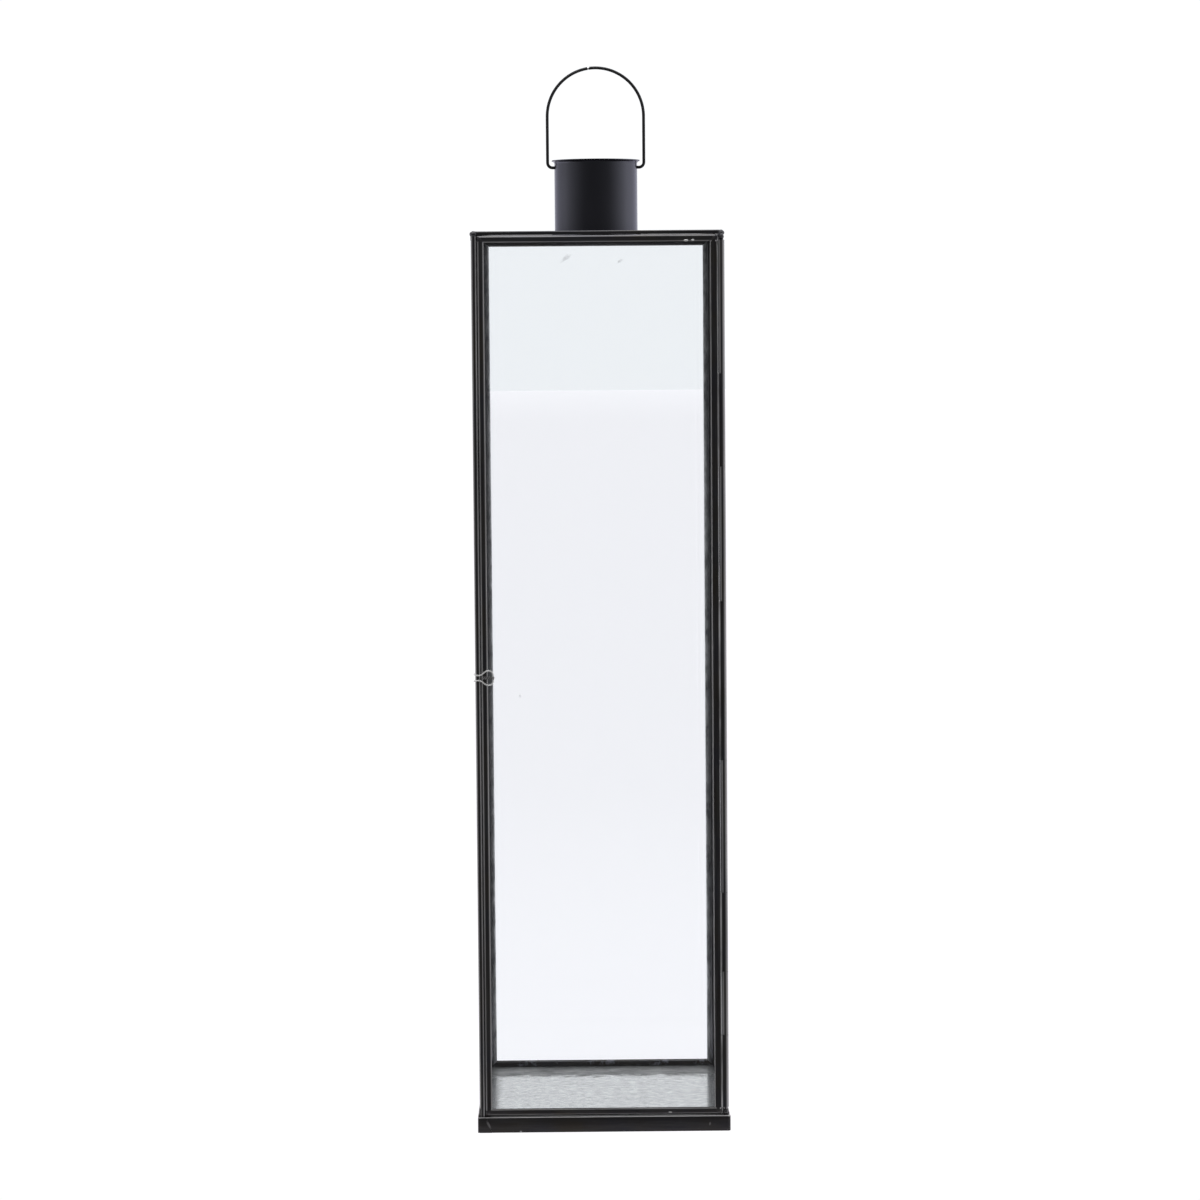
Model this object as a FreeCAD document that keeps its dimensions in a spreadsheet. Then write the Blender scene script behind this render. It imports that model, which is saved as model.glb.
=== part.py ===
import FreeCAD, Part
import math
import os
import re
import Sketcher

# Driving dimensions of the lantern: millimetres, degrees, and shares of the hinge's length
DIMENSIONS = {
    "body_half": 98.5,
    "panel_height": 696.0,
    "base_margin": 1.5,
    "base_height": 12.4,
    "base_hem": 4.0,
    "base_corner_radius": 1.6,
    "base_fold_radius": 1.0,
    "lap_length": 9.7,
    "lap_lean": 4.0,
    "lap_sheet": 0.4,
    "sheet": 0.7,
    "came_depth": 5.7,
    "came_fold_radius": 1.7,
    "lip_flat": 0.15,
    "glass_thickness": 2.5,
    "glass_face_play": 0.2,
    "glass_side_play": 0.5,
    "glass_top_play": 1.0,
    "floor_sheet": 0.5,
    "floor_play": 0.3,
    "door_gap": 0.4,
    "door_end_gap": 0.6,
    "stop_leg": 4.4,
    "pin_radius": 1.95,
    "pin_play": 0.05,
    "pin_head": 1.2,
    "knuckle_curl": 285.0,
    "knuckle_gap": 0.4,
    "knuckle_clear": 0.4,
    "hinge_inset": 5.5,
    "leaf_setback": 0.7,
    "cut_first": 0.150,
    "cut_second": 0.257,
    "cut_third": 0.411,
    "cut_fourth": 0.595,
    "cut_fifth": 0.749,
    "cut_sixth": 0.841,
    "cut_seventh": 0.915,
    "roof_inset": 2.0,
    "roof_rim": 3.0,
    "roof_fold_radius": 1.0,
    "roof_corner_radius": 3.0,
    "chimney_radius": 33.3,
    "chimney_height": 58.4,
    "chimney_sheet": 0.8,
    "chimney_fit": 0.05,
    "chimney_flange": 2.5,
    "seam_turn": 11.0,
    "lip_flare": 2.1,
    "bail_wire_radius": 1.2,
    "bail_play": 0.08,
    "bail_gap": 5.4,
    "bail_drop": 5.7,
    "bail_leg": 40.8,
    "bail_bend": 4.0,
    "bail_inset": 2.2,
    "latch_height": 362.1,
    "latch_pivot_inset": 14.2,
    "latch_wire_radius": 0.5,
    "latch_play": 0.05,
    "latch_side_gap": 0.3,
    "latch_tail": 7.2,
    "latch_tail_half": 2.75,
    "latch_pinch_half": 1.3,
    "latch_pinch_at": 10.6,
    "latch_eye_half": 6.5,
    "latch_eye_at": 4.6,
    "latch_end_half": 4.4,
    "latch_corner_bend": 1.5,
    "latch_pinch_bend": 5.0,
    "latch_eye_bend": 4.5,
    "latch_end_bend": 3.2,
    "strap_sheet": 0.4,
    "strap_half": 1.1,
    "strap_leaf": 8.0,
}

# Places worked out from the driving dimensions
PANEL_TOP = "(base_height + panel_height)"
BASE_HALF = "(body_half + base_margin)"
ROOF_HALF = "(body_half - roof_inset)"
SLOT = "(glass_thickness + 2 * glass_face_play)"
CAME_THICKNESS = f"({SLOT} + 2 * sheet)"
LIP_ROUND = f"({CAME_THICKNESS} / 2 - lip_flat)"
CAME_INNER = f"(body_half - {CAME_THICKNESS})"
CAME_MIDDLE = f"(body_half - {CAME_THICKNESS} / 2)"
KNUCKLE_BORE = "(pin_radius + pin_play)"
KNUCKLE_OUTER = "(pin_radius + pin_play + sheet)"
HINGE_AXIS = f"(body_half + sheet - {KNUCKLE_OUTER})"
HINGE_NOTCH = f"({KNUCKLE_OUTER} + knuckle_clear)"
HINGE_SIDE = f"({HINGE_AXIS} - {HINGE_NOTCH})"
HINGE_LEAF = "(came_depth - leaf_setback)"
DOOR_LEFT = f"({CAME_INNER} - door_gap)"
DOOR_WIDTH = f"({DOOR_LEFT} + {HINGE_SIDE})"
DOOR_BOTTOM = "(base_height + door_end_gap)"
DOOR_HEIGHT = "(panel_height - 2 * door_end_gap)"
HINGE_BOTTOM = f"({DOOR_BOTTOM} + hinge_inset)"
HINGE_LENGTH = f"({DOOR_HEIGHT} - 2 * hinge_inset)"
ROOF_TOP = f"({PANEL_TOP} + roof_rim)"
CHIMNEY_TOP = f"({ROOF_TOP} + chimney_height)"
BAIL_AXIS = f"({CHIMNEY_TOP} - bail_drop)"
BAIL_HALF = "(chimney_radius + bail_gap)"
BAIL_END = "(chimney_radius - chimney_sheet - bail_inset)"
STRAP_BORE = "(latch_wire_radius + latch_play)"
STRAP_OUTER = "(latch_wire_radius + latch_play + strap_sheet)"
LATCH_X = "(body_half - latch_pivot_inset)"
LATCH_Y = f"(body_half + {STRAP_OUTER})"

KNUCKLE_CUTS = (
    "0",
    "cut_first",
    "cut_second",
    "cut_third",
    "cut_fourth",
    "cut_fifth",
    "cut_sixth",
    "cut_seventh",
    "1",
)

# How a sketch numbers the points of an edge, and its own origin
START, END, CENTRE = 1, 2, 3
ORIGIN = (-1, 1)
UPRIGHT = FreeCAD.Vector(0, 0, 1)

doc = FreeCAD.newDocument("lantern")
dims = doc.addObject("Spreadsheet::Sheet", "dims")
for row, (alias, size) in enumerate(DIMENSIONS.items(), start=1):
    dims.set(f"A{row}", alias.replace("_", " "))
    dims.set(f"B{row}", str(size))
    dims.setAlias(f"B{row}", alias)
doc.recompute()

ALIASES = re.compile(r"\b(" + "|".join(DIMENSIONS) + r")\b")
nodes = []


def bind(expression):
    """An expression on the sheet's words, as another object reads it."""
    return ALIASES.sub(r"dims.\1", expression)


def measure(expression):
    """The present value of an expression on the sheet's words."""
    return float(dims.evalExpression(expression))


def place(piece, at, spin=0.0):
    """Put a piece at a bound place, turned about the upright axis."""
    turn = FreeCAD.Rotation(UPRIGHT, spin)
    piece.Placement = FreeCAD.Placement(FreeCAD.Vector(*[measure(value) for value in at]), turn)
    for letter, value in zip("xyz", at):
        piece.setExpression(f"Placement.Base.{letter}", bind(value))


def new_body(label, at=("0", "0", "0"), spin=0.0):
    """An empty sub-part that names its own file."""
    body = doc.addObject("PartDesign::Body", label)
    body.Label = label
    place(body, at, spin)
    nodes.append(body)
    return body


def new_sketch(body, name, plane, offset="0"):
    """A sketch on one of the body's own origin planes, lifted along its normal."""
    sketch = body.newObject("Sketcher::SketchObject", f"{body.Name}_{name}")
    support = next(item for item in body.Origin.OriginFeatures if item.Role == plane)
    sketch.AttachmentSupport = [(support, "")]
    sketch.MapMode = "FlatFace"
    sketch.setExpression("AttachmentOffset.Base.z", bind(offset))
    return sketch


def hold(sketch, kind, geometry, point, value):
    """Tie one coordinate of a sketch point to an expression."""
    size = measure(value)
    index = sketch.addConstraint(Sketcher.Constraint(kind, *ORIGIN, geometry, point, size))
    name = f"size_{index}"
    sketch.renameConstraint(index, name)
    sketch.setExpression(f"Constraints.{name}", bind(value))


def hold_point(sketch, geometry, point, x, y):
    """Tie both coordinates of a sketch point."""
    hold(sketch, "DistanceX", geometry, point, x)
    hold(sketch, "DistanceY", geometry, point, y)


def line_to(x, y):
    """A straight step of an outline."""
    return {"end": (x, y), "centre": None, "left_turn": True}


def arc_to(x, y, centre_x, centre_y, left_turn=True):
    """A round step of an outline about a centre."""
    return {"end": (x, y), "centre": (centre_x, centre_y), "left_turn": left_turn}


def draw(sketch, start, steps, closed=True):
    """Draw an outline step by step, with every corner and centre tied to the sheet."""
    first = sketch.GeometryCount
    here = FreeCAD.Vector(measure(start[0]), measure(start[1]), 0)
    before = None
    for number, step in enumerate(steps):
        end = FreeCAD.Vector(measure(step["end"][0]), measure(step["end"][1]), 0)
        enter, leave = START, END
        if step["centre"] is None:
            geometry = sketch.addGeometry(Part.LineSegment(here, end), False)
        else:
            centre = FreeCAD.Vector(measure(step["centre"][0]), measure(step["centre"][1]), 0)
            circle = Part.Circle(centre, UPRIGHT, (here - centre).Length)
            if step["left_turn"]:
                span = (circle.parameter(here), circle.parameter(end))
            else:
                span = (circle.parameter(end), circle.parameter(here))
                enter, leave = END, START
            geometry = sketch.addGeometry(Part.ArcOfCircle(circle, *span), False)
        if before is None:
            hold_point(sketch, geometry, enter, *start)
        else:
            sketch.addConstraint(Sketcher.Constraint("Coincident", *before, geometry, enter))
        last = closed and number == len(steps) - 1
        if last:
            sketch.addConstraint(Sketcher.Constraint("Coincident", geometry, leave, first, START))
        if step["centre"] is not None:
            hold_point(sketch, geometry, CENTRE, *step["centre"])
            spoke = end - centre
            if abs(spoke.y) > abs(spoke.x):
                hold(sketch, "DistanceX", geometry, leave, step["end"][0])
            else:
                hold(sketch, "DistanceY", geometry, leave, step["end"][1])
        elif not last:
            hold_point(sketch, geometry, leave, *step["end"])
        before = (geometry, leave)
        here = end


def draw_corners(sketch, corners):
    """A closed outline of straight edges."""
    draw(sketch, corners[0], [line_to(*corner) for corner in corners[1:] + corners[:1]])


def draw_rectangle(sketch, low_x, low_y, high_x, high_y):
    """An upright rectangle between two corners."""
    draw_corners(sketch, [(low_x, low_y), (high_x, low_y), (high_x, high_y), (low_x, high_y)])


def draw_rounded_square(sketch, half, radius):
    """A square about the origin with round corners."""
    flat = f"({half} - ({radius}))"
    draw(sketch, (f"-{half}", f"-{flat}"), [
        arc_to(f"-{flat}", f"-{half}", f"-{flat}", f"-{flat}"),
        line_to(flat, f"-{half}"),
        arc_to(half, f"-{flat}", flat, f"-{flat}"),
        line_to(half, flat),
        arc_to(flat, half, flat, flat),
        line_to(f"-{flat}", half),
        arc_to(f"-{half}", flat, f"-{flat}", flat),
        line_to(f"-{half}", f"-{flat}"),
    ])


def draw_circle(sketch, x, y, radius):
    """A circle with its centre and radius tied to the sheet."""
    centre = FreeCAD.Vector(measure(x), measure(y), 0)
    circle = Part.Circle(centre, UPRIGHT, measure(radius))
    geometry = sketch.addGeometry(circle, False)
    if x != "0" or y != "0":
        hold_point(sketch, geometry, CENTRE, x, y)
    else:
        sketch.addConstraint(Sketcher.Constraint("Coincident", geometry, CENTRE, *ORIGIN))
    index = sketch.addConstraint(Sketcher.Constraint("Radius", geometry, measure(radius)))
    sketch.renameConstraint(index, "radius")
    sketch.setExpression("Constraints.radius", bind(radius))


def feature(body, kind, sketch):
    """A feature of a body made from one sketch."""
    made = body.newObject(f"PartDesign::{kind}", f"{sketch.Name}_{kind.lower()}")
    made.Profile = sketch
    return made


def pad(body, sketch, length, symmetric=False):
    """Raise a sketch into a solid."""
    made = feature(body, "Pad", sketch)
    made.setExpression("Length", bind(length))
    made.SideType = "Symmetric" if symmetric else "One side"
    doc.recompute()
    return made


def pocket(body, sketch, length, symmetric=False, backward=False):
    """Cut a sketch out of the body, and make sure that something was cut."""
    full = body.Shape.Volume
    made = feature(body, "Pocket", sketch)
    made.setExpression("Length", bind(length))
    made.SideType = "Symmetric" if symmetric else "One side"
    made.Reversed = backward
    doc.recompute()
    if not body.Shape.Volume < full:
        raise RuntimeError(f"{made.Name} cuts nothing")
    return made


def revolve(body, sketch, angle, backward=False):
    """Turn a sketch about its own upright axis."""
    made = feature(body, "Revolution", sketch)
    made.ReferenceAxis = (sketch, ["V_Axis"])
    made.setExpression("Angle", bind(angle))
    made.Reversed = backward
    doc.recompute()
    return made


def round_edges(body, base, radius, chosen):
    """Round every edge of a feature that the given test chooses."""
    names = [f"Edge{n}" for n, edge in enumerate(base.Shape.Edges, start=1) if chosen(edge)]
    made = body.newObject("PartDesign::Fillet", f"{base.Name}_round")
    made.Base = (base, names)
    made.setExpression("Radius", bind(radius))
    doc.recompute()
    return made


def ends_match(edge, test):
    """Whether both ends of an edge pass a test."""
    return all(test(vertex.Point) for vertex in edge.Vertexes)


def near(value, target):
    """Whether two lengths agree."""
    return abs(value - target) < 1e-4


def lengthwise_at(depth, depth_of):
    """A test for the edges that run along a channel at a depth in from its fold."""
    target = measure(depth)
    across = measure(CAME_THICKNESS)
    return lambda edge: edge.Length > across * 1.5 and ends_match(
        edge, lambda point: near(depth_of(point), target))


# One folded channel of a panel's frame, mitred at both ends, its lips rolled down towards the glass
def channel(label, corners, slot, depth_of, at, spin):
    body = new_body(label, at, spin)
    outline = new_sketch(body, "outline", "XZ_Plane")
    draw_corners(outline, corners)
    bar = pad(body, outline, CAME_THICKNESS, symmetric=True)
    folded = round_edges(body, bar, "came_fold_radius", lengthwise_at("0", depth_of))
    round_edges(body, folded, LIP_ROUND, lengthwise_at("came_depth", depth_of))
    groove = new_sketch(body, "groove", "XZ_Plane")
    draw_rectangle(groove, *slot)
    pocket(body, groove, SLOT, symmetric=True)


# A glazed panel: four mitred channels round one pane, drawn about the middle of its bottom edge
def panel(names, glass, width, height, at, spin):
    half = f"({width} / 2)"
    inner = f"({half} - came_depth)"
    upper = f"({height} - came_depth)"
    reach = measure(half)
    rise = measure(height)
    low_side, high_side, top, bottom = names
    channel(low_side,
            [(f"-{half}", "0"), (f"-{inner}", "came_depth"), (f"-{inner}", upper), (f"-{half}", height)],
            (f"sheet - {half}", "0", f"-{inner}", height),
            lambda point: reach + point.x, at, spin)
    channel(high_side,
            [(half, "0"), (half, height), (inner, upper), (inner, "came_depth")],
            (inner, "0", f"{half} - sheet", height),
            lambda point: reach - point.x, at, spin)
    channel(top,
            [(f"-{half}", height), (f"-{inner}", upper), (inner, upper), (half, height)],
            (f"-{half}", upper, half, f"{height} - sheet"),
            lambda point: rise - point.z, at, spin)
    channel(bottom,
            [(f"-{half}", "0"), (half, "0"), (inner, "came_depth"), (f"-{inner}", "came_depth")],
            (f"-{half}", "sheet", half, "came_depth"),
            lambda point: point.z, at, spin)
    pane = new_body(glass, at, spin)
    edge = f"({half} - sheet - glass_side_play)"
    outline = new_sketch(pane, "outline", "XZ_Plane")
    draw_rectangle(outline, f"-{edge}", "sheet", edge, f"{height} - sheet - glass_top_play")
    pad(pane, outline, "glass_thickness", symmetric=True)


# Left, right and back panels, and the door between the two side panels
panel(("left_front_post", "left_rear_post", "left_top_rail", "left_bottom_rail"), "left_glass",
      "(2 * body_half)", "panel_height", (f"-{CAME_MIDDLE}", "0", "base_height"), 90)
panel(("right_front_post", "right_rear_post", "right_top_rail", "right_bottom_rail"), "right_glass",
      f"(body_half + {HINGE_SIDE})", "panel_height",
      (CAME_MIDDLE, f"(body_half - {HINGE_SIDE}) / 2", "base_height"), 90)
panel(("back_left_stile", "back_right_stile", "back_top_rail", "back_bottom_rail"), "back_glass",
      f"(2 * {CAME_INNER})", "panel_height", ("0", CAME_MIDDLE, "base_height"), 0)
panel(("door_left_stile", "door_right_stile", "door_top_rail", "door_bottom_rail"), "door_glass",
      DOOR_WIDTH, DOOR_HEIGHT,
      (f"({HINGE_SIDE} - {DOOR_LEFT}) / 2", f"-{CAME_MIDDLE}", DOOR_BOTTOM), 0)


# A strip that the closed door's free edge lies against
def door_stop():
    body = new_body("door_stop", (f"-{CAME_INNER}", f"-{DOOR_LEFT}", "base_height"))
    section = new_sketch(body, "section", "XY_Plane")
    draw_corners(section, [("0", "0"), ("stop_leg", "0"), ("stop_leg", "sheet"), ("sheet", "sheet"),
                           ("sheet", "stop_leg"), ("0", "stop_leg")])
    pad(body, section, "panel_height")


# A hinge leaf: a flat strip with every second knuckle rolled from it round the pin
def hinge_leaf(label, strip_plane, curl_plane, side, first_knuckle, backward):
    body = new_body(label, (HINGE_AXIS, f"-{HINGE_AXIS}", HINGE_BOTTOM))
    along = f"({side} * {HINGE_NOTCH})"
    far = f"({side} * ({HINGE_NOTCH} + {HINGE_LEAF}))"
    low_x, high_x = sorted((along, far), key=measure)
    strip = new_sketch(body, "strip", strip_plane, KNUCKLE_BORE)
    draw_rectangle(strip, low_x, "0", high_x, HINGE_LENGTH)
    pad(body, strip, "sheet")
    tabs = new_sketch(body, "tabs", strip_plane, KNUCKLE_BORE)
    curls = new_sketch(body, "curls", curl_plane)
    tab_low, tab_high = sorted(("0", along), key=measure)
    curl_ends = (f"({side} * {KNUCKLE_BORE})", f"({side} * {KNUCKLE_OUTER})")
    curl_low, curl_high = sorted(curl_ends, key=measure)
    for top, low in list(zip(KNUCKLE_CUTS, KNUCKLE_CUTS[1:]))[first_knuckle::2]:
        low_z = f"{HINGE_LENGTH} * (1 - {low}) + knuckle_gap / 2"
        high_z = f"{HINGE_LENGTH} * (1 - {top}) - knuckle_gap / 2"
        draw_rectangle(tabs, tab_low, low_z, tab_high, high_z)
        draw_rectangle(curls, curl_low, low_z, curl_high, high_z)
    pad(body, tabs, "sheet")
    revolve(body, curls, "knuckle_curl", backward)


# The hinge pin: a straight rod with an upset head above the top knuckle
def hinge_pin():
    body = new_body("hinge_pin", (HINGE_AXIS, f"-{HINGE_AXIS}", HINGE_BOTTOM))
    section = new_sketch(body, "section", "XZ_Plane")
    draw_corners(section, [("0", "-pin_head"), ("pin_radius", "-pin_head"), ("pin_radius", HINGE_LENGTH),
                           (KNUCKLE_OUTER, HINGE_LENGTH), (KNUCKLE_OUTER, f"{HINGE_LENGTH} + pin_head"),
                           ("0", f"{HINGE_LENGTH} + pin_head")])
    revolve(body, section, "360")


# The base: a square tray turned upside down, with lapped corners and an inward hem to stand on
def base_tray():
    body = new_body("base_tray")
    outline = new_sketch(body, "outline", "XY_Plane")
    draw_rounded_square(outline, BASE_HALF, "base_corner_radius")
    block = pad(body, outline, "base_height")
    top = measure("base_height")
    round_edges(body, block, "base_fold_radius",
                lambda edge: ends_match(edge, lambda point: near(point.z, top)))
    mouth = new_sketch(body, "mouth", "XY_Plane")
    hem = f"({BASE_HALF} - base_hem)"
    draw_rectangle(mouth, f"-{hem}", f"-{hem}", hem, hem)
    pocket(body, mouth, "base_height - sheet", backward=True)
    hollow = new_sketch(body, "hollow", "XY_Plane", "sheet")
    draw_rounded_square(hollow, f"({BASE_HALF} - sheet)", "base_corner_radius - sheet")
    pocket(body, hollow, "base_height - 2 * sheet", backward=True)
    lap = new_sketch(body, "lap", "XZ_Plane", BASE_HALF)
    start = f"base_corner_radius - {BASE_HALF}"
    upper = "base_height - base_fold_radius"
    draw_corners(lap, [
        (start, "0"),
        (f"{start} + lap_length", "0"),
        (f"{start} + lap_length - lap_lean", upper),
        (start, upper),
    ])
    flap = pad(body, lap, "lap_sheet")
    around = body.newObject("PartDesign::PolarPattern", "base_laps")
    around.Originals = [flap]
    around.Axis = (outline, ["N_Axis"])
    around.Angle = 360
    around.Occurrences = 4
    body.Tip = around
    doc.recompute()


# A bare sheet that covers the base inside the glass, snipped at one corner round the door's stop
def floor_plate():
    body = new_body("floor_plate", ("0", "0", "base_height"))
    edge = f"({CAME_INNER} - floor_play)"
    front = f"-{DOOR_LEFT}"
    snip = "stop_leg + floor_play"
    outline = new_sketch(body, "outline", "XY_Plane")
    draw_corners(outline, [
        (f"{snip} - {CAME_INNER}", front),
        (edge, front),
        (edge, edge),
        (f"-{edge}", edge),
        (f"-{edge}", f"{snip} - {DOOR_LEFT}"),
        (f"{snip} - {CAME_INNER}", f"{snip} - {DOOR_LEFT}"),
    ])
    pad(body, outline, "floor_sheet")


# The roof: a shallow square lid on the panels, with a round hole for the chimney
def roof_plate():
    body = new_body("roof_plate", ("0", "0", PANEL_TOP))
    outline = new_sketch(body, "outline", "XY_Plane")
    draw_rounded_square(outline, ROOF_HALF, "roof_corner_radius")
    block = pad(body, outline, "roof_rim")
    rise = measure("roof_rim")
    round_edges(body, block, "roof_fold_radius",
                lambda edge: ends_match(edge, lambda point: near(point.z, rise)))
    hollow = new_sketch(body, "hollow", "XY_Plane")
    draw_rounded_square(hollow, f"({ROOF_HALF} - sheet)", "roof_corner_radius - sheet")
    pocket(body, hollow, "roof_rim - sheet", backward=True)
    hole = new_sketch(body, "hole", "XY_Plane")
    draw_circle(hole, "0", "0", "chimney_radius + chimney_fit")
    pocket(body, hole, "roof_rim", backward=True)


# The chimney: a tube lapped at the back, flanged under the roof and flared at its lip, with two holes
def chimney_tube():
    body = new_body("chimney_tube", ("0", "0", ROOF_TOP))
    inside = "(chimney_radius - chimney_sheet)"
    under = "(-sheet)"
    foot = "(-sheet - chimney_sheet)"
    flare_low = "(chimney_height - lip_flare - chimney_sheet)"
    lip_edge = "(chimney_radius + lip_flare)"
    wall = new_sketch(body, "wall", "XZ_Plane")
    draw(wall, (inside, foot), [
        line_to("chimney_radius + chimney_flange", foot),
        line_to("chimney_radius + chimney_flange", under),
        line_to("chimney_radius", under),
        line_to("chimney_radius", flare_low),
        arc_to(lip_edge, "chimney_height - chimney_sheet", lip_edge, flare_low, left_turn=False),
        line_to(lip_edge, "chimney_height"),
        arc_to(inside, flare_low, lip_edge, flare_low),
        line_to(inside, foot),
    ])
    revolve(body, wall, "360")
    seam = new_sketch(body, "seam", "YZ_Plane")
    draw_rectangle(seam, f"{inside} + chimney_sheet / 2", "0", "chimney_radius + chimney_sheet", flare_low)
    revolve(body, seam, "seam_turn")
    holes = new_sketch(body, "holes", "YZ_Plane")
    draw_circle(holes, "0", "chimney_height - bail_drop", "bail_wire_radius + bail_play")
    pocket(body, holes, "2 * (chimney_radius + lip_flare)", symmetric=True)


# The bail: one round wire, an arch on two legs with its ends turned in through the chimney
def bail_handle():
    body = new_body("bail_handle", ("0", "0", BAIL_AXIS))
    turn_in = f"({BAIL_HALF} - bail_bend)"
    path = new_sketch(body, "path", "XZ_Plane")
    draw(path, (f"-{BAIL_END}", "0"), [
        line_to(f"-{turn_in}", "0"),
        arc_to(f"-{BAIL_HALF}", "bail_bend", f"-{turn_in}", "bail_bend", left_turn=False),
        line_to(f"-{BAIL_HALF}", "bail_leg"),
        arc_to(BAIL_HALF, "bail_leg", "0", "bail_leg", left_turn=False),
        line_to(BAIL_HALF, "bail_bend"),
        arc_to(turn_in, "0", turn_in, "bail_bend", left_turn=False),
        line_to(BAIL_END, "0"),
    ], closed=False)
    section = new_sketch(body, "section", "YZ_Plane", f"-{BAIL_END}")
    draw_circle(section, "0", "0", "bail_wire_radius")
    wire = feature(body, "AdditivePipe", section)
    wire.Spine = (path, [f"Edge{n}" for n in range(1, path.GeometryCount + 1)])
    doc.recompute()


# The strap that holds the latch: a sheet tongue on the door's stile, rolled round the wire
def latch_strap():
    body = new_body("latch_strap", (f"-{LATCH_X}", f"-{LATCH_Y}", "latch_height"))
    tongue = new_sketch(body, "tongue", "XZ_Plane", f"-{STRAP_OUTER}")
    draw_rectangle(tongue, "-strap_leaf", "-strap_half", "0", "strap_half")
    pad(body, tongue, "strap_sheet")
    curl = new_sketch(body, "curl", "YZ_Plane")
    draw_rectangle(curl, STRAP_BORE, "-strap_half", STRAP_OUTER, "strap_half")
    revolve(body, curl, "knuckle_curl", backward=True)


def rounded_wire(points, bends):
    """A wire of straight runs whose inner corners are tangent arcs of the given radii."""
    edges = []
    start = points[0]
    for before, corner, after, radius in zip(points, points[1:], points[2:], bends):
        back = (before - corner).normalize()
        ahead = (after - corner).normalize()
        half_turn = back.getAngle(ahead) / 2
        enter = corner + back * (radius / math.tan(half_turn))
        leave = corner + ahead * (radius / math.tan(half_turn))
        middle = corner + (back + ahead).normalize() * (radius / math.sin(half_turn) - radius)
        edges.append(Part.LineSegment(start, enter).toShape())
        edges.append(Part.Arc(enter, middle, leave).toShape())
        start = leave
    edges.append(Part.LineSegment(start, points[-1]).toShape())
    return Part.Wire(edges)


# The latch: one bright wire bent into an eye, pinched, with two tails sprung round the corner post.
# Its route leaves the door's plane, so no single sketch can hold it.
def latch_loop():
    corner_x = f"({LATCH_X} - body_half - latch_side_gap - latch_wire_radius)"
    half_route = [
        (corner_x, "latch_tail", "latch_tail_half"),
        (corner_x, "0", "latch_tail_half"),
        ("-latch_pinch_at", "0", "latch_pinch_half"),
        ("-latch_eye_at", "0", "latch_eye_half"),
        ("0", "0", "latch_end_half"),
    ]
    upper = [FreeCAD.Vector(*[measure(value) for value in point]) for point in half_route]
    lower = [FreeCAD.Vector(point.x, point.y, -point.z) for point in reversed(upper)]
    bends = [measure(f"latch_{name}_bend") for name in ("corner", "pinch", "eye", "end")]
    path = rounded_wire(upper + lower, bends + bends[::-1])
    ring = Part.Circle(upper[0], upper[1] - upper[0], measure("latch_wire_radius"))
    loop = doc.addObject("Part::Feature", "latch_loop")
    loop.Shape = path.makePipe(Part.Face(Part.Wire(ring.toShape())))
    loop.Label = "latch_loop"
    place(loop, (f"-{LATCH_X}", f"-{LATCH_Y}", "latch_height"))
    nodes.append(loop)


door_stop()
hinge_leaf("hinge_post_leaf", "YZ_Plane", "XZ_Plane", "1", first_knuckle=0, backward=True)
hinge_leaf("hinge_door_leaf", "XZ_Plane", "YZ_Plane", "-1", first_knuckle=1, backward=False)
hinge_pin()
base_tray()
floor_plate()
roof_plate()
chimney_tube()
bail_handle()
latch_strap()
latch_loop()
doc.recompute()

# Every object has to be sound before anything is written
for item in doc.Objects:
    if "Invalid" in item.State or "Error" in item.State:
        raise RuntimeError(f"{item.Name} did not build: {item.State}")
for node in nodes:
    if node.Shape.isNull() or not node.Shape.isValid() or len(node.Shape.Solids) != 1:
        raise RuntimeError(f"{node.Label} is not one sound solid")

os.makedirs("parts", exist_ok=True)
for node in nodes:
    node.Shape.exportStep(f"parts/{node.Label}.step")
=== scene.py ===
import math
import random
from collections import namedtuple

import bmesh
import bpy
from mathutils import Matrix, Vector, noise


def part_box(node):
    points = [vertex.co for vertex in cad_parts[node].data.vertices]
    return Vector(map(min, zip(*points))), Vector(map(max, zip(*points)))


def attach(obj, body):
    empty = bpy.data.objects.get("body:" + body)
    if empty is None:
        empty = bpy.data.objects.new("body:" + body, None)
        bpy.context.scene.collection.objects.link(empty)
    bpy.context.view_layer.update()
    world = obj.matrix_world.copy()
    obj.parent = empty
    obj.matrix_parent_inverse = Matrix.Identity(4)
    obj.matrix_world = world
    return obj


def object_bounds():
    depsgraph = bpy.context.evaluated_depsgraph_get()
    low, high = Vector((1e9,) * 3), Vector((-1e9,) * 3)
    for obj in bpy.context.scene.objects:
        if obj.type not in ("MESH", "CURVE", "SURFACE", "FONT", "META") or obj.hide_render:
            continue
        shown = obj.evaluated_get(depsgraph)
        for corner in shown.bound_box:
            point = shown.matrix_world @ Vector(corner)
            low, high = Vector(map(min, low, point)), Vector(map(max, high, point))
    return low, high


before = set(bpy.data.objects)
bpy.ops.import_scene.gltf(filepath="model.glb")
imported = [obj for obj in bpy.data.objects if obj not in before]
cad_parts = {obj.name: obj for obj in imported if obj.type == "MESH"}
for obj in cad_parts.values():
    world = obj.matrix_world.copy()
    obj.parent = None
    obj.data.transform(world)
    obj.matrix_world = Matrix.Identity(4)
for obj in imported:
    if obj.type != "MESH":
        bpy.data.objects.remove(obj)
cad_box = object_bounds()

scene = bpy.context.scene
scene.view_settings.view_transform = "Standard"
scene.view_settings.look = "None"

MM = 0.001
RIGHT = Vector((1, 0, 0))
BACK = Vector((0, 1, 0))
UP = Vector((0, 0, 1))


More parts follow.
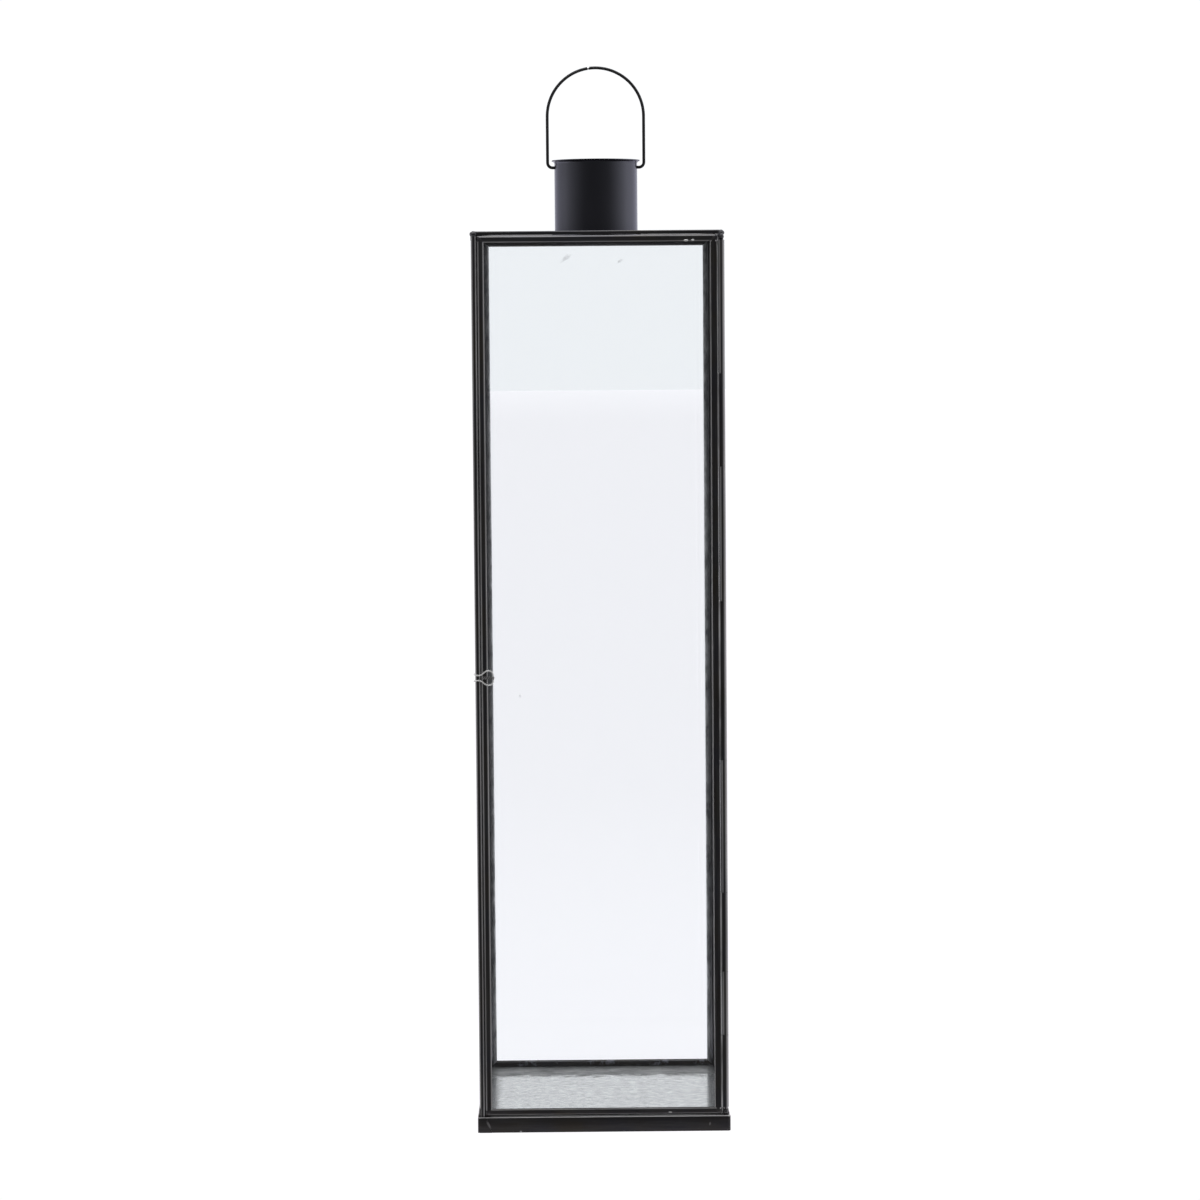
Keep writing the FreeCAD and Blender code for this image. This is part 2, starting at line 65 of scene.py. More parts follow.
class Nodes:
    """A node tree that is filled one node at a time."""

    def __init__(self, tree):
        self.tree = tree
        tree.nodes.clear()

    def fill(self, socket, value):
        """Link another node's output to a socket, or set the socket to a plain value."""
        if isinstance(value, bpy.types.NodeSocket):
            self.tree.links.new(value, socket)
        else:
            socket.default_value = value

    def add(self, kind, sockets=None, **settings):
        """Add a node, set its properties, and fill its inputs."""
        node = self.tree.nodes.new(kind)
        for key, value in settings.items():
            setattr(node, key, value)
        for key, value in (sockets or {}).items():
            self.fill(node.inputs[key], value)
        return node

    def axes(self, vector):
        """The X, Y and Z of a vector."""
        return self.add("ShaderNodeSeparateXYZ", {"Vector": vector}).outputs

    def ramp(self, value, low, high, to_low=0.0, to_high=1.0):
        """Map a value from one range to another, held at the ends."""
        return self.add("ShaderNodeMapRange", {
            "Value": value, "From Min": low, "From Max": high, "To Min": to_low, "To Max": to_high,
        }).outputs["Result"]

    def math(self, operation, first, second=0.0):
        """One operation on one or two values."""
        return self.add("ShaderNodeMath", {0: first, 1: second}, operation=operation).outputs["Value"]

    def product(self, first, *others):
        """Values multiplied together."""
        for other in others:
            first = self.math("MULTIPLY", first, other)
        return first

    def blend(self, share, first, second):
        """Mix two colours by a share."""
        node = self.add("ShaderNodeMix", data_type="RGBA")
        sockets = {socket.name: socket for socket in node.inputs if socket.enabled}
        self.fill(sockets["Factor"], share)
        self.fill(sockets["A"], first)
        self.fill(sockets["B"], second)
        return next(socket for socket in node.outputs if socket.enabled)


# How a pattern is scaled along each axis: a low scale draws it out into streaks
EVEN = (1, 1, 1)
UPRIGHT = (1, 1, 0.06)
LEVEL = (0.06, 0.06, 1)

# An outer edge is worn over this radius, and wholly so where it is this sharp
EDGE_RADIUS = 0.0005
EDGE_SHARP = 0.3
# Ranges of a surface's normal: its largest part from a flat face to a rolled lip, its upright part from
# an upright lip to a level one, and its depth on a face that looks to the front
LIP_TURN = (0.997, 0.94)
LIP_LEVEL = (0.1, 0.3)
FRONT_FACE = (-0.5, -0.9)

# A mark on the front: its middle across and up, its two half sizes, its lean in degrees and its strength
Mark = namedtuple("Mark", "x z half_length half_width lean strength")
# A mark reaches this deep; marks and bands are at full strength out to these shares of their size
MARK_DEPTH = 0.02
MARK_CORE = 0.35
BAND_CORE = 0.4


class Shader(Nodes):
    """A material whose patterns are placed in the object's own coordinates."""

    def __init__(self, name):
        self.material = bpy.data.materials.new(name)
        self.material.use_nodes = True
        super().__init__(self.material.node_tree)
        self.output = self.add("ShaderNodeOutputMaterial")
        self.place = self.add("ShaderNodeTexCoord").outputs["Object"]

    def noise(self, scale, detail, rough, stretch=EVEN):
        """Cloudy noise from 0 to 1."""
        place = self.add("ShaderNodeMapping", {"Vector": self.place, "Scale": stretch}).outputs["Vector"]
        return self.add("ShaderNodeTexNoise", {
            "Vector": place, "Scale": scale, "Detail": detail, "Roughness": rough,
        }).outputs["Fac"]

    def cloud(self, scale, detail, rough, between, give=(0.0, 1.0), stretch=EVEN):
        """Cloudy noise whose values between two limits are spread over a range."""
        return self.ramp(self.noise(scale, detail, rough, stretch), *between, *give)

    def bump(self, height, strength, distance, under=None):
        """Relief from a height, on top of an earlier relief."""
        sockets = {"Height": height, "Strength": strength, "Distance": distance}
        if under is not None:
            sockets["Normal"] = under
        return self.add("ShaderNodeBump", sockets).outputs["Normal"]

    def facing(self):
        """The way the surface looks."""
        return self.add("ShaderNodeNewGeometry").outputs["Normal"]

    def worn_edges(self):
        """High along outer edges and low on flats."""
        rounded = self.add("ShaderNodeBevel", {"Radius": EDGE_RADIUS}, samples=4).outputs["Normal"]
        likeness = self.add("ShaderNodeVectorMath", {0: rounded, 1: self.facing()}, operation="DOT_PRODUCT")
        return self.ramp(likeness.outputs["Value"], 1.0, 1.0 - EDGE_SHARP)

    def rolled_lips(self, level_only):
        """High where the surface turns away from the flat planes, on every lip or on level ones only."""
        sides = self.add("ShaderNodeVectorMath", {0: self.facing()}, operation="ABSOLUTE").outputs["Vector"]
        parts = self.axes(sides)
        widest = self.math("MAXIMUM", self.math("MAXIMUM", parts["X"], parts["Y"]), parts["Z"])
        rolled = self.ramp(widest, *LIP_TURN)
        return self.product(rolled, self.ramp(parts["Z"], *LIP_LEVEL)) if level_only else rolled

    def inward(self):
        """High on faces that look to the front, as the inside of the back panel does."""
        return self.ramp(self.axes(self.facing())["Y"], *FRONT_FACE)

    def spot(self, mark, front):
        """High, up to the mark's strength, in a leaning oval about one place on the front."""
        near = self.add("ShaderNodeMapping", {
            "Vector": self.place,
            "Location": (mark.x, front, mark.z),
            "Rotation": (0, -math.radians(mark.lean), 0),
            "Scale": (mark.half_length, MARK_DEPTH, mark.half_width),
        }, vector_type="TEXTURE").outputs["Vector"]
        reach = self.add("ShaderNodeVectorMath", {0: near}, operation="LENGTH").outputs["Value"]
        return self.product(self.ramp(reach, 1.0, MARK_CORE), mark.strength)

    def ragged_highlight_band(self, middle, half):
        """The mask of a painted highlight: high in an upright band about a place across the front, broken
        along its length.
        """
        away = self.math("ABSOLUTE", self.math("SUBTRACT", self.axes(self.place)["X"], middle))
        ragged = self.cloud(130.0, 4.0, 0.65, between=(0.35, 0.65), give=(0.3, 1.0), stretch=(1, 1, 0.12))
        return self.product(self.ramp(away, half, half * BAND_CORE), ragged)

    def result(self, shader):
        """Join the last shader to the output and hand over the material."""
        self.tree.links.new(shader, self.output.inputs["Surface"])
        return self.material

    def surface(self, **sockets):
        """A material made of the main shader alone."""
        named = {key.replace("_", " "): value for key, value in sockets.items()}
        return self.result(self.add("ShaderNodeBsdfPrincipled", named).outputs["BSDF"])


# Tints, as shares of red, green and blue
NEUTRAL = (1.0, 1.0, 1.0)
PLAIN = (1.0, 0.99, 1.01)
COOL = (0.94, 0.95, 1.15)
WARM = (1.10, 1.0, 0.88)
ZINC = (0.99, 1.0, 1.02)


def rgb(level, tint=NEUTRAL):
    """A grey of one level, tinted."""
    return (*(level * part for part in tint), 1.0)


# Levels of the blackened sheet: the frame's own black, what shows where it is worn and marked, and the
# brightest level, which also paints highlights
FRAME_DARK = 0.08
FRAME_LIGHT = 0.125
EDGE_LEVEL = 0.22
MARK_LEVEL = 0.5
BRIGHT_LEVEL = 0.95
# Rubbed bare metal and painted highlights are dull: they give up this share of the sheet's metallic shine,
# so their pale level shows from every side
RUBBED_AND_HIGHLIGHT_DULLNESS = 0.5


def drawn_streaks(sh, drawn):
    """Pale streaks along the way the sheet was drawn."""
    return sh.cloud(360.0, 4.0, 0.65, between=(0.45, 0.75), stretch=drawn)


def uneven_gloss(sh, drawn, gloss):
    """Roughness that wanders about one value."""
    return sh.cloud(140.0, 4.0, 0.6, between=(0.3, 0.7), give=(gloss - 0.07, gloss + 0.10), stretch=drawn)


def fine_grain(sh, drawn, under=None):
    """Relief of fine drawn lines."""
    return sh.bump(sh.noise(1500.0, 3.0, 0.6, drawn), strength=0.10, distance=0.0001, under=under)


def blackened_sheet(name, drawn, dark=FRAME_DARK, light=FRAME_LIGHT, gloss=0.30, rubbed=0.5,
                    lip_wear_and_highlight_share=0.0, lip_wear_and_highlight_level=0.45, highlight_band=None, smears=0.0, marks=()):
    """Patchy brown-black and blue-black sheet with drawn streaks and worn edges; its lips are pale partly
    from rubbed wear and partly from painted highlights, its band is a painted highlight, and its marks are
    pale spots and painted highlights.
    """
    sh = Shader(name)
    patches = sh.cloud(22.0, 4.0, 0.6, between=(0.35, 0.65))
    tone = sh.blend(patches, rgb(dark, WARM), rgb(dark, COOL))
    tone = sh.blend(drawn_streaks(sh, drawn), tone, rgb(light, PLAIN))
    broken = sh.cloud(700.0, 4.0, 0.7, between=(0.45, 0.65))
    tone = sh.blend(sh.product(sh.worn_edges(), broken, rubbed), tone, rgb(EDGE_LEVEL, WARM))
    metal = 1.0
    # The lips are lifted towards a pale level: partly rubbed bare metal, partly a painted highlight along
    # the rounds where light catches them.
    if lip_wear_and_highlight_share:
        lip_patches = sh.cloud(90.0, 4.0, 0.6, between=(0.3, 0.65), give=(0.45, 1.0), stretch=drawn)
        rubbed_and_highlight = sh.product(sh.rolled_lips(drawn == LEVEL), lip_patches, lip_wear_and_highlight_share)
        tone = sh.blend(rubbed_and_highlight, tone, rgb(lip_wear_and_highlight_level, PLAIN))
        # The hinge's band is a painted highlight: a pale stripe, dull like the lips, where the leaf's edge
        # catches light.
        if highlight_band:
            painted_highlight = sh.ragged_highlight_band(*highlight_band)
            tone = sh.blend(painted_highlight, tone, rgb(BRIGHT_LEVEL, PLAIN))
            rubbed_and_highlight = sh.math("MAXIMUM", rubbed_and_highlight, painted_highlight)
        metal = sh.math("SUBTRACT", 1.0, sh.product(rubbed_and_highlight, RUBBED_AND_HIGHLIGHT_DULLNESS))
    if smears:
        smeared = sh.cloud(48.0, 4.0, 0.65, between=(0.55, 0.72))
        tone = sh.blend(sh.product(smeared, smears, sh.inward()), tone, rgb(BRIGHT_LEVEL, COOL))
    for mark in marks:
        tone = sh.blend(sh.spot(mark, cad_box[0].y), tone, rgb(MARK_LEVEL, PLAIN))
    rough = uneven_gloss(sh, drawn, gloss)
    wavy = sh.bump(sh.noise(40.0, 2.0, 0.5, drawn), strength=0.2, distance=0.002)
    return sh.surface(Base_Color=tone, Metallic=metal, Roughness=rough, Normal=fine_grain(sh, drawn, wavy))


# The painted reflection beside the glass: its width, the share of it that goes on beyond, and the sheet's
# roughness
REFLECTION_WIDTH = 0.0034
REFLECTION_REST = 0.15
REFLECTION_SHEET_GLOSS = 0.32


def painted_reflection_sheet(name, edge):
    """A back stile's sheet, whose inside carries a painted reflection: a ragged pale band beside the glass,
    as if mirroring the white light behind.
    """
    sh = Shader(name)
    tone = sh.blend(drawn_streaks(sh, UPRIGHT), rgb(FRAME_DARK, COOL), rgb(FRAME_LIGHT, PLAIN))
    across = sh.math("ABSOLUTE", sh.axes(sh.place)["X"])
    near = sh.ramp(across, edge, edge + REFLECTION_WIDTH, 1.0, REFLECTION_REST)
    ragged = sh.cloud(160.0, 5.0, 0.7, between=(0.35, 0.65), give=(0.25, 1.0), stretch=(1, 1, 0.35))
    # Painted reflection: faces that look to the front are lifted to pale zinc near the glass.
    tone = sh.blend(sh.product(sh.inward(), near, ragged), tone, rgb(1.0, ZINC))
    rough = uneven_gloss(sh, UPRIGHT, REFLECTION_SHEET_GLOSS)
    return sh.surface(Base_Color=tone, Metallic=1.0, Roughness=rough, Normal=fine_grain(sh, UPRIGHT))


# The file marks: their pitch, their slant, and the levels between and on them
FILE_MARK = 0.0014
FILE_SLANT = 0.6
FILED_DARK = 0.14
FILED_BRIGHT = 0.75


def filed_sheet(name):
    """The latch strap's grey sheet, with slanting file marks."""
    sh = Shader(name)
    where = sh.axes(sh.place)
    slant = sh.math("ADD", where["X"], sh.product(where["Z"], FILE_SLANT))
    marks = sh.math("SINE", sh.product(slant, 2 * math.pi / FILE_MARK))
    uneven = sh.math("ADD", marks, sh.cloud(500.0, 3.0, 0.6, between=(0.3, 0.7), give=(-0.8, 0.8)))
    tone = sh.blend(sh.ramp(uneven, -0.6, 1.0), rgb(FILED_DARK, PLAIN), rgb(FILED_BRIGHT, PLAIN))
    rough = sh.cloud(400.0, 3.0, 0.6, between=(0.3, 0.7), give=(0.30, 0.45))
    relief = sh.bump(uneven, strength=0.2, distance=0.0001)
    return sh.surface(Base_Color=tone, Metallic=0.8, Roughness=rough, Normal=relief)


# The chimney's two levels of black, and its tint seen at a slant
CHIMNEY_DARK = 0.0779
CHIMNEY_LIGHT = 0.0861
CHIMNEY_RIM = (0.85, 0.85, 0.95, 1.0)


def chimney_satin(name):
    """Smooth satin black with a blue cast and faint clouding."""
    sh = Shader(name)
    clouds = sh.cloud(45.0, 4.0, 0.6, between=(0.3, 0.7), stretch=(1, 1, 0.4))
    tone = sh.blend(clouds, rgb(CHIMNEY_DARK, COOL), rgb(CHIMNEY_LIGHT, COOL))
    rough = sh.ramp(clouds, 0.0, 1.0, 0.22, 0.27)
    relief = sh.bump(sh.noise(700.0, 2.0, 0.5, (1, 1, 0.15)), strength=0.04, distance=0.0001)
    return sh.surface(
        Base_Color=tone, Metallic=1.0, Roughness=rough, Normal=relief, Specular_Tint=CHIMNEY_RIM)


# The bail's bright ring: its distance left of the middle, half its width, and how far it reaches down
NICK_LEFT = 0.0055
NICK_HALF = 0.0006
NICK_DEPTH = 0.0048
# The bail's two levels of black, and its tint seen at a slant
BAIL_DARK = 0.05
BAIL_LIGHT = 0.065
BAIL_RIM = (0.45, 0.45, 0.5, 1.0)


def bail_black(name):
    """Black wire, rubbed bright in one thin ring beside its crown."""
    sh = Shader(name)
    clouds = sh.cloud(120.0, 4.0, 0.6, between=(0.3, 0.7))
    tone = sh.blend(clouds, rgb(BAIL_DARK, PLAIN), rgb(BAIL_LIGHT, PLAIN))
    where = sh.axes(sh.place)
    away = sh.math("ABSOLUTE", sh.math("ADD", where["X"], NICK_LEFT))
    crown = sh.math("GREATER_THAN", where["Z"], cad_box[1].z - NICK_DEPTH)
    ring = sh.product(sh.math("LESS_THAN", away, NICK_HALF), crown)
    tone = sh.blend(ring, tone, rgb(BRIGHT_LEVEL))
    rough = sh.ramp(clouds, 0.0, 1.0, 0.45, 0.53)
    return sh.surface(Base_Color=tone, Metallic=1.0, Roughness=rough, Specular_Tint=BAIL_RIM)


# The zinc's darker margin along the back: where it starts behind the middle, and how soft and ragged its
# border is
MARGIN_BACK = 0.054
MARGIN_SOFT = 0.005
MARGIN_RAGGED = 0.016
# The same at the two ends, which are shifted a little to the right, fainter, and fade towards the front
MARGIN_ENDS = 0.0863
MARGIN_END_SOFT = MARGIN_SOFT / 3
MARGIN_WANDER = 0.0006
MARGIN_SHIFT = 0.0029
MARGIN_END_SHARE = 0.3
MARGIN_FADE = (-0.08, 0.0)
MARGIN_FRONT_SHARE = 0.5


def zinc_margin_mask(sh, where):
    """High on a ragged margin along the back, and a little on a straighter one at each end."""
    ragged = sh.cloud(
        150.0, 6.0, 0.8, between=(0.25, 0.75), give=(-MARGIN_RAGGED, MARGIN_RAGGED), stretch=(0.5, 1, 1))
    back = sh.math("ADD", where["Y"], ragged)
    back = sh.ramp(back, MARGIN_BACK - MARGIN_SOFT, MARGIN_BACK + MARGIN_SOFT)
    wander = sh.cloud(45.0, 1.0, 0.5, between=(0.3, 0.7), give=(-MARGIN_WANDER, MARGIN_WANDER))
    ends = sh.math("ABSOLUTE", sh.math("SUBTRACT", where["X"], MARGIN_SHIFT))
    ends = sh.math("ADD", ends, wander)
    ends = sh.ramp(ends, MARGIN_ENDS - MARGIN_END_SOFT, MARGIN_ENDS + MARGIN_END_SOFT, 0.0, MARGIN_END_SHARE)
    ends = sh.product(ends, sh.ramp(where["Y"], *MARGIN_FADE, MARGIN_FRONT_SHARE, 1.0))
    patchy = sh.cloud(75.0, 6.0, 0.75, between=(0.35, 0.65), give=(0.6, 1.0), stretch=(0.5, 1, 1))
    return sh.product(sh.math("MAXIMUM", back, ends), patchy)


# Levels of the zinc: its streaks, its blooms, its darker margin and its pits, and the depth where pits
# begin
ZINC_DULL = 0.40
ZINC_PALE = 0.84
ZINC_BLOOM = 0.45
ZINC_MARGIN = 0.12
ZINC_PIT = 0.05
ZINC_PITTED = (0.0, 0.04)


def bare_zinc(name):
    """Pale grey zinc with fine rolling streaks, dull blooms, a darker and rougher margin along the back and
    ends, and pits towards the back.
    """
    sh = Shader(name)
    fine = sh.noise(230.0, 6.0, 0.75, (0.6, 1, 1))
    broad = sh.noise(70.0, 5.0, 0.65, (0.3, 1, 1))
    grain = sh.cloud(500.0, 3.0, 0.6, between=(0.55, 0.75))
    tone = sh.blend(sh.ramp(fine, 0.34, 0.66), rgb(ZINC_DULL, ZINC), rgb(ZINC_PALE, ZINC))
    tone = sh.blend(sh.product(sh.ramp(broad, 0.48, 0.70), 0.3), tone, rgb(ZINC_BLOOM, ZINC))
    tone = sh.blend(sh.product(grain, 0.3), tone, rgb(ZINC_DULL, ZINC))
    where = sh.axes(sh.place)
    dark_margin = zinc_margin_mask(sh, where)
    tone = sh.blend(dark_margin, tone, rgb(ZINC_MARGIN, ZINC))
    pits = sh.cloud(330.0, 2.0, 0.5, between=(0.69, 0.73))
    tone = sh.blend(sh.product(pits, sh.ramp(where["Y"], *ZINC_PITTED)), tone, rgb(ZINC_PIT))
    rough = sh.math("ADD", sh.ramp(broad, 0.3, 0.7, 0.10, 0.18), sh.product(dark_margin, 0.4))
    relief = sh.bump(fine, strength=0.06, distance=0.0002)
    return sh.surface(Base_Color=tone, Metallic=0.65, Roughness=rough, Normal=relief)


def bright_metal(name, gloss):
    """Pale metal, drawn or splashed, with slight tarnish."""
    sh = Shader(name)
    tarnish = sh.cloud(380.0, 4.0, 0.65, between=(0.5, 0.75))
    tone = sh.blend(sh.product(tarnish, 0.5), rgb(BRIGHT_LEVEL), rgb(BRIGHT_LEVEL * 0.55, WARM))
    rough = sh.cloud(900.0, 3.0, 0.6, between=(0.3, 0.7), give=(gloss - 0.04, gloss + 0.10))
    return sh.surface(Base_Color=tone, Metallic=0.45, Roughness=rough)


# What the glass lets through where it is clear, smeared, speckled or marked
GLASS_CLEAR = (0.988, 0.995, 1.0, 1.0)
GLASS_SMEARED = (0.90, 0.91, 0.92, 1.0)
GLASS_SPECKLED = rgb(0.4)
GLASS_MARKED = (0.62, 0.62, 0.63, 1.0)
SMEAR_SHARE = 0.2
SPECK_SHARE = 0.4
# The share of light that the glass mirrors face on, and how fast that grows towards a slant
GLASS_MIRROR = 0.04
GLASS_SLANT_POWER = 5.0
GLASS_ROUGH = 0.02
GLASS_MARKS = (
    Mark(-0.0256, 0.6897, 0.0052, 0.0016, lean=48.0, strength=0.50),
    Mark(-0.0228, 0.6906, 0.0040, 0.0013, lean=42.0, strength=0.45),
    Mark(0.0178, 0.6876, 0.0032, 0.0014, lean=30.0, strength=0.55),
    Mark(-0.0635, 0.3474, 0.0011, 0.0018, lean=0.0, strength=0.50),
    Mark(0.0230, 0.1240, 0.0010, 0.0010, lean=0.0, strength=0.25),
    Mark(-0.0431, 0.1630, 0.0009, 0.0009, lean=0.0, strength=0.25),
)


def clear_glass(name):
    """Thin glass: it passes light straight through and mirrors at a slant, with faint smears and marks."""
    sh = Shader(name)
    grazing = sh.add("ShaderNodeLayerWeight", {"Blend": 0.5}).outputs["Facing"]
    mirrored = sh.ramp(sh.math("POWER", grazing, GLASS_SLANT_POWER), 0.0, 1.0, GLASS_MIRROR, 1.0)
    smears = sh.cloud(70.0, 5.0, 0.7, between=(0.62, 0.85), stretch=(1, 1, 0.35))
    specks = sh.cloud(420.0, 2.0, 0.5, between=(0.79, 0.82))
    strokes = sh.cloud(420.0, 3.0, 0.6, between=(0.40, 0.62), give=(0.2, 1.0), stretch=(1, 1, 0.5))
    clear = sh.blend(sh.product(smears, SMEAR_SHARE), GLASS_CLEAR, GLASS_SMEARED)
    clear = sh.blend(sh.product(specks, SPECK_SHARE), clear, GLASS_SPECKLED)
    low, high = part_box("door_glass")
    for mark in GLASS_MARKS:
        share = sh.product(sh.spot(mark, (low.y + high.y) / 2), strokes)
        clear = sh.blend(share, clear, GLASS_MARKED)
    through = sh.add("ShaderNodeBsdfTransparent", {"Color": clear}).outputs["BSDF"]
    mirror = sh.add("ShaderNodeBsdfGlossy", {"Roughness": GLASS_ROUGH}).outputs["BSDF"]
    return sh.result(sh.add("ShaderNodeMixShader", {0: mirrored, 1: through, 2: mirror}).outputs["Shader"])


# Pale marks on the base's front: the long leaning one at the left corner is a painted highlight along a
# soft crease, and the other two are small pale spots.
BASE_SPOTS_AND_CREASE_HIGHLIGHT = (
    Mark(-0.0915, 0.0066, 0.0042, 0.0012, lean=-62.0, strength=0.22),
    Mark(0.0840, 0.0058, 0.0018, 0.0009, lean=80.0, strength=0.20),
    Mark(-0.0660, 0.0008, 0.0012, 0.0008, lean=0.0, strength=0.50),
)
# The painted highlight on the hinge beside the door's stile, where the leaf's edge catches light: its
# middle and half its width
LEAF_HIGHLIGHT_BAND = (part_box("door_right_stile")[1].x + 0.0003, 0.0009)
# The lips' shares and levels set how strong the painted highlights are: brightest on the door's right
# stile, which takes the light from the right, and faint on the roof and rails.
finish = {
    "upright_sheet": blackened_sheet("upright_sheet", UPRIGHT, lip_wear_and_highlight_share=0.9),
    "level_sheet": blackened_sheet("level_sheet", LEVEL, lip_wear_and_highlight_share=0.35),
    "smeared": blackened_sheet("smeared_sheet", LEVEL, lip_wear_and_highlight_share=0.35, smears=0.7),
    "hinge_stile": blackened_sheet("hinge_stile_sheet", UPRIGHT, lip_wear_and_highlight_share=1.0, lip_wear_and_highlight_level=0.95),
    "hinge_post": blackened_sheet("hinge_post_sheet", UPRIGHT, dark=0.075, light=0.115, lip_wear_and_highlight_share=0.2),
    "hinge": blackened_sheet(
        "hinge_sheet", UPRIGHT, dark=0.075, light=0.115, lip_wear_and_highlight_share=0.5, lip_wear_and_highlight_level=0.6, highlight_band=LEAF_HIGHLIGHT_BAND),
    "base": blackened_sheet(
        "base_sheet", LEVEL, dark=0.035, light=0.048, gloss=0.38, lip_wear_and_highlight_share=0.8, lip_wear_and_highlight_level=0.6,
        marks=BASE_SPOTS_AND_CREASE_HIGHLIGHT),
    "roof": blackened_sheet(
        "roof_sheet", LEVEL, dark=0.065, light=0.09, gloss=0.32, rubbed=0.4, lip_wear_and_highlight_share=0.15),
    "solder": blackened_sheet("blackened_solder", EVEN, dark=0.07, light=0.11, gloss=0.34, rubbed=0.7),
    "painted_reflection": painted_reflection_sheet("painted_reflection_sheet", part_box("back_right_stile")[0].x),
    "strap": filed_sheet("filed_strap"),
    "chimney": chimney_satin("chimney_satin"),
    "bail": bail_black("bail_black"),
    "zinc": bare_zinc("bare_zinc_sheet"),
    "bright": bright_metal("drawn_wire", 0.28),
    "splash": bright_metal("solder_splash", 0.14),
    "glass": clear_glass("thin_clear_glass"),
}

# The finish of each material slot, and of the nodes that differ from their slot
SLOT_FINISH = {
    "base_black": "base",
    "chimney_black": "chimney",
    "bail_wire": "bail",
    "bright_wire": "bright",
    "bare_zinc": "zinc",
    "clear_glass": "glass",
}
NODE_FINISH = {
    "hinge_pin": "hinge",
    "hinge_post_leaf": "hinge",
    "hinge_door_leaf": "hinge",
    "right_front_post": "hinge_post",
    "door_right_stile": "hinge_stile",
    "back_left_stile": "painted_reflection",
    "back_right_stile": "painted_reflection",
    "back_bottom_rail": "smeared",
    "roof_plate": "roof",
    "latch_strap": "strap",
}
for name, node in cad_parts.items():
    slot_name = node.material_slots[0].material.name
    sheet = "level_sheet" if name.endswith("_rail") else "upright_sheet"
    usual = SLOT_FINISH.get(slot_name, sheet)
    node.material_slots[0].material = finish[NODE_FINISH.get(name, usual)]


def piece(name, form, body, material):
    """Turn a finished form into a smooth piece of the lantern that moves with one body."""
    bmesh.ops.recalc_face_normals(form, faces=form.faces)
    mesh = bpy.data.meshes.new(name)
    form.to_mesh(mesh)
    form.free()
    for face in mesh.polygons:
        face.use_smooth = True
    mesh.materials.append(finish[material])
    made = bpy.data.objects.new(name, mesh)
    scene.collection.objects.link(made)
    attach(made, body)


def skin(form, rings):
    """Join rings of points, all of one count, into a tube with closed ends."""
    rows = [[form.verts.new(point) for point in ring] for ring in rings]
    for low, high in zip(rows, rows[1:]):
        for n in range(len(low)):
            after = (n + 1) % len(low)
            form.faces.new((low[n], low[after], high[after], high[n]))
    form.faces.new(list(reversed(rows[0])))
    form.faces.new(rows[-1])


# The foot's solder, in millimetres outwards and upwards, at its full height on the corners
FOOT_SECTION = ((-0.3, 0.0), (1.3, 0.0), (0.85, 0.9), (0.45, 2.6), (0.2, 4.6), (0.05, 7.0), (-0.3, 7.0))
FOOT_STEPS = 28
# Between the corners it is lower; its width varies by a share each way, and its height down and up
FOOT_RUN_RISE = 0.45
FOOT_SWELL = 0.12
FOOT_DIP = 0.15
FOOT_CREST = 0.1


def foot_ring(at, out, swell=1.0, rise=1.0):
    """The section of the foot's solder at one place."""
    return [at + out * (u * swell * MM) + UP * (v * rise * MM) for u, v in FOOT_SECTION]


def foot_solder():
    """Solder along the foot of the fixed panels, hollow in section and a little uneven along its length."""
    chance = random.Random(11)
    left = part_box("left_front_post")[0]
    right_low, right_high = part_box("right_front_post")
    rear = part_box("left_rear_post")[1].y
    corners = (
        (Vector((left.x, left.y, left.z)), -RIGHT),
        (Vector((left.x, rear, left.z)), BACK - RIGHT),
        (Vector((right_high.x, rear, left.z)), BACK + RIGHT),
        (Vector((right_high.x, right_low.y, left.z)), RIGHT),
    )
    rings = []
    for (start, corner_out), (end, _), side_out in zip(corners, corners[1:], (-RIGHT, BACK, RIGHT)):
        for n in range(FOOT_STEPS):
            swell = 1 + chance.uniform(-FOOT_SWELL, FOOT_SWELL)
            rise = 1 + chance.uniform(-FOOT_DIP, FOOT_CREST)
            if n == 0:
                rings.append(foot_ring(start, corner_out, swell, rise))
            else:
                at = start.lerp(end, n / FOOT_STEPS)
                rings.append(foot_ring(at, side_out, swell, rise * FOOT_RUN_RISE))
    rings.append(foot_ring(*corners[-1]))
    form = bmesh.new()
    skin(form, rings)
    piece("foot_solder", form, "lantern_body", "solder")


# A bead of solder: its size, how deep it is sunk, how far it strays and varies, and its ends' taper
BEAD_WIDTH = 1.3 * MM
BEAD_HEIGHT = 0.28 * MM
BEAD_SUNK = 0.1 * MM
BEAD_STRAY = 0.08 * MM
BEAD_VARIES = 0.15
BEAD_TAPER = 0.12
BEAD_RINGS = 9
BEAD_SIDES = 6


def bead(form, start, end, out, chance):
    """A half-round run of solder from one point to another, thinner at its ends."""
    side = (end - start).normalized().cross(out)
    rings = []
    for n in range(BEAD_RINGS):
        share = n / (BEAD_RINGS - 1)
        full = math.sin(math.pi * (BEAD_TAPER + (1 - 2 * BEAD_TAPER) * share))
        full *= chance.uniform(1 - BEAD_VARIES, 1 + BEAD_VARIES)
        at = start.lerp(end, share) + side * chance.uniform(-BEAD_STRAY, BEAD_STRAY)
        ring = []
        for k in range(BEAD_SIDES + 1):
            turn = math.pi * k / BEAD_SIDES
            width = math.cos(turn) * BEAD_WIDTH / 2 * full
            height = math.sin(turn) * BEAD_HEIGHT * full
            ring.append(at + side * width + out * height)
        ring.append(at - out * BEAD_SUNK)
        rings.append(ring)
    skin(form, rings)


# A mitre's bead runs between these two distances from the corner, each way
MITRE_START = 0.7 * MM
MITRE_END = 4.6 * MM
